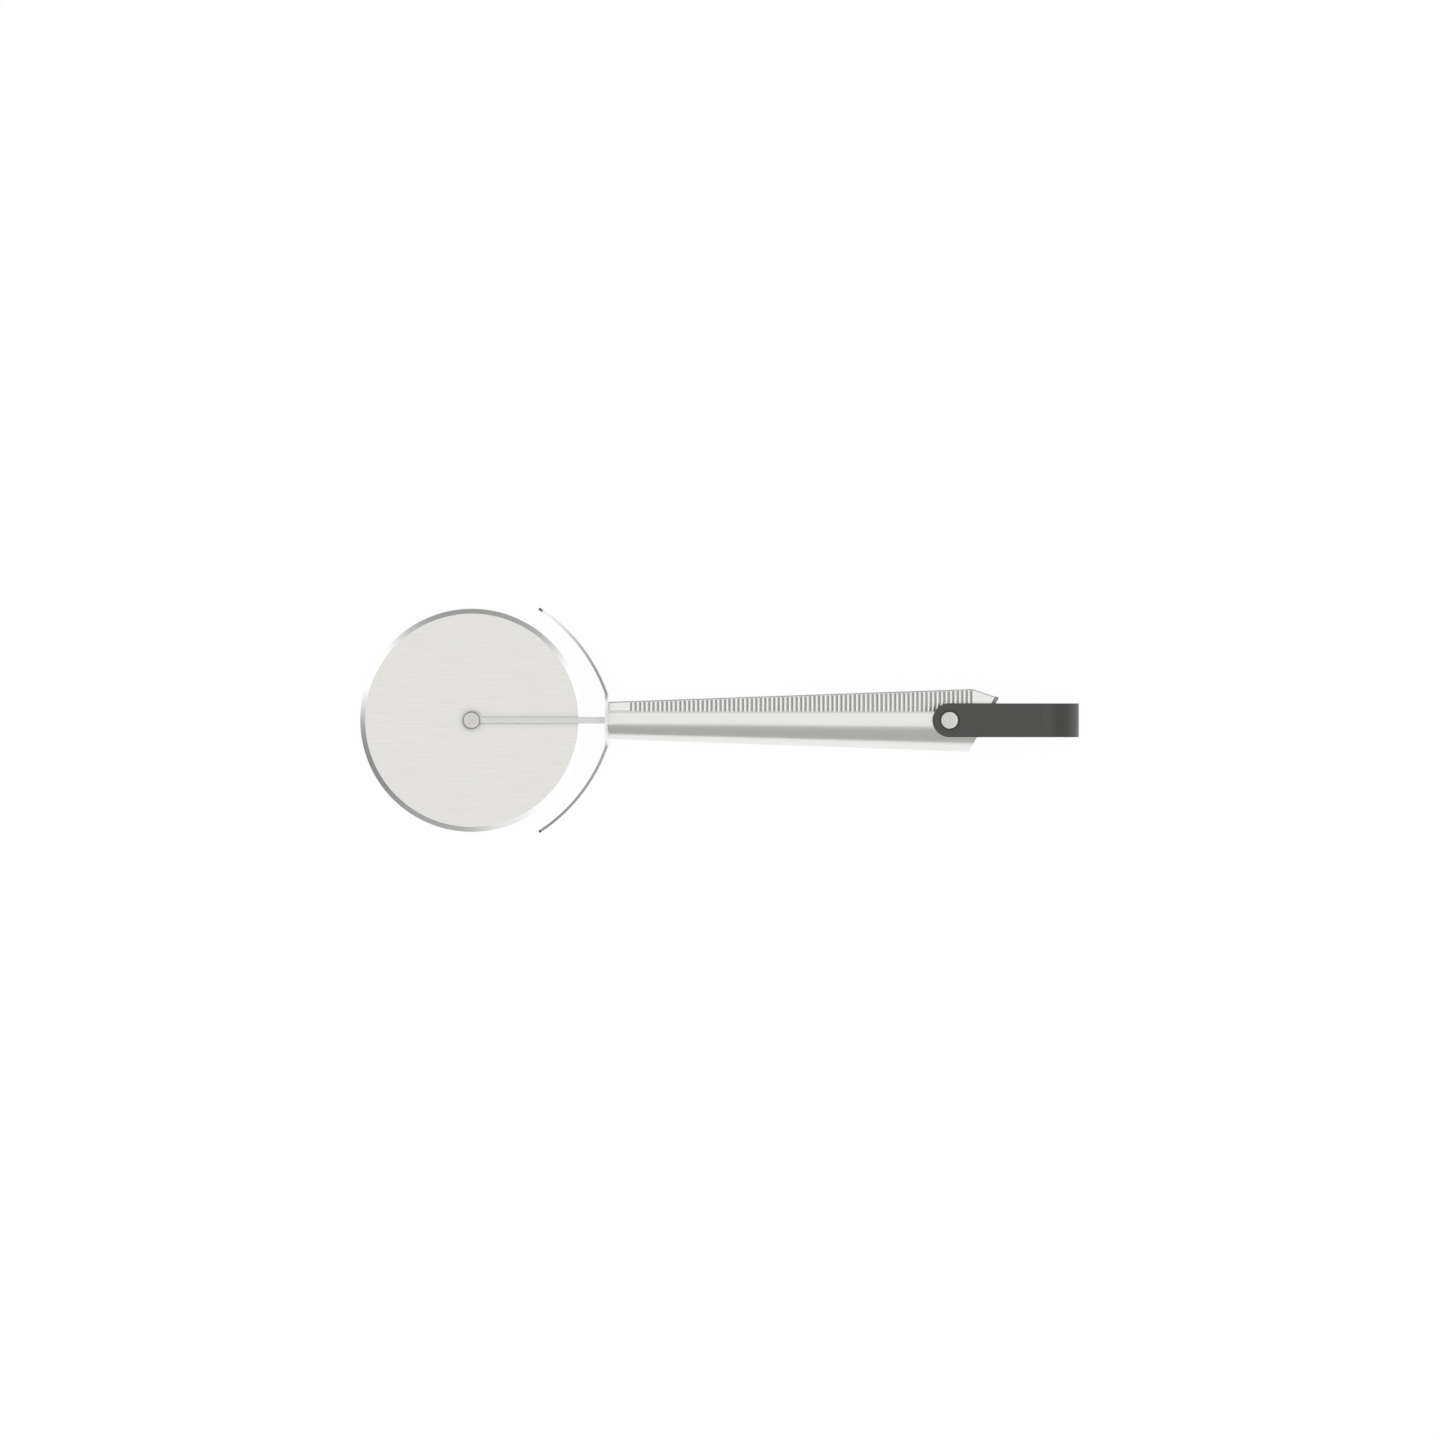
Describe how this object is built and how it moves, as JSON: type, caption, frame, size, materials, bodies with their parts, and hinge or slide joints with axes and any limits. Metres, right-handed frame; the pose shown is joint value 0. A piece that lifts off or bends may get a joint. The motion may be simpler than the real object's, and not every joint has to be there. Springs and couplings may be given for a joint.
{
  "type": "pizza cutter wheel",
  "caption": "Pizza cutter: bevelled steel wheel on an axle in a thin fork, bent finger guard, tapered ribbed steel handle and folded rubber hanging loop.",
  "frame": {"origin": "middle of the tool's length and height, on the surface it lies on", "axes": "+X along the handle from the wheel to the hanging loop, +Y towards the ribbed side of the handle, +Z along the wheel's axle, up from the surface"},
  "size_m": [0.322, 0.101, 0.034],
  "materials": {
    "brushed_blade_steel": "fine brushed faces, polished bevel",
    "satin_handle_steel": "satin, brushed along the handle",
    "satin_insert_metal": "fine satin, moulded ribs",
    "polished_steel": "polished",
    "fork_steel": "satin",
    "rivet_steel": "satin heads",
    "plated_steel": "zinc plated",
    "white_nylon": "moulded",
    "dark_cap_plastic": "moulded",
    "dark_rubber": "matt, fine grained"
  },
  "bodies": {
    "handle": {"handle_shell": "satin_handle_steel", "grip_insert": "satin_insert_metal", "front_plug": "satin_insert_metal", "end_cap": "dark_cap_plastic", "guard": "polished_steel", "fork": "fork_steel", "tang_washer": "plated_steel", "tang_nut": "plated_steel", "axle_pin": "rivet_steel", "axle_pin_cap": "rivet_steel", "thrust_washer_upper": "white_nylon", "thrust_washer_lower": "white_nylon", "strap_rivet": "rivet_steel", "strap_rivet_cap": "rivet_steel", "strap_spacer": "plated_steel", "strap_washer_upper": "white_nylon", "strap_washer_lower": "white_nylon"},
    "wheel": {"blade": "brushed_blade_steel", "hub_bush_upper": "rivet_steel", "hub_bush_lower": "rivet_steel"},
    "strap": {"strap": "dark_rubber"}
  },
  "joints": [
    {"name": "wheel_spin", "type": "hinge", "parent": "handle", "child": "wheel", "pos_m": [-0.11105, 0, 0.017], "axis": [0, 0, 1], "continuous": true},
    {"name": "strap_swing", "type": "hinge", "parent": "handle", "child": "strap", "pos_m": [0.10265, 0, 0.017], "axis": [0, 0, 1], "range_deg": [-150, 150]}
  ]
}
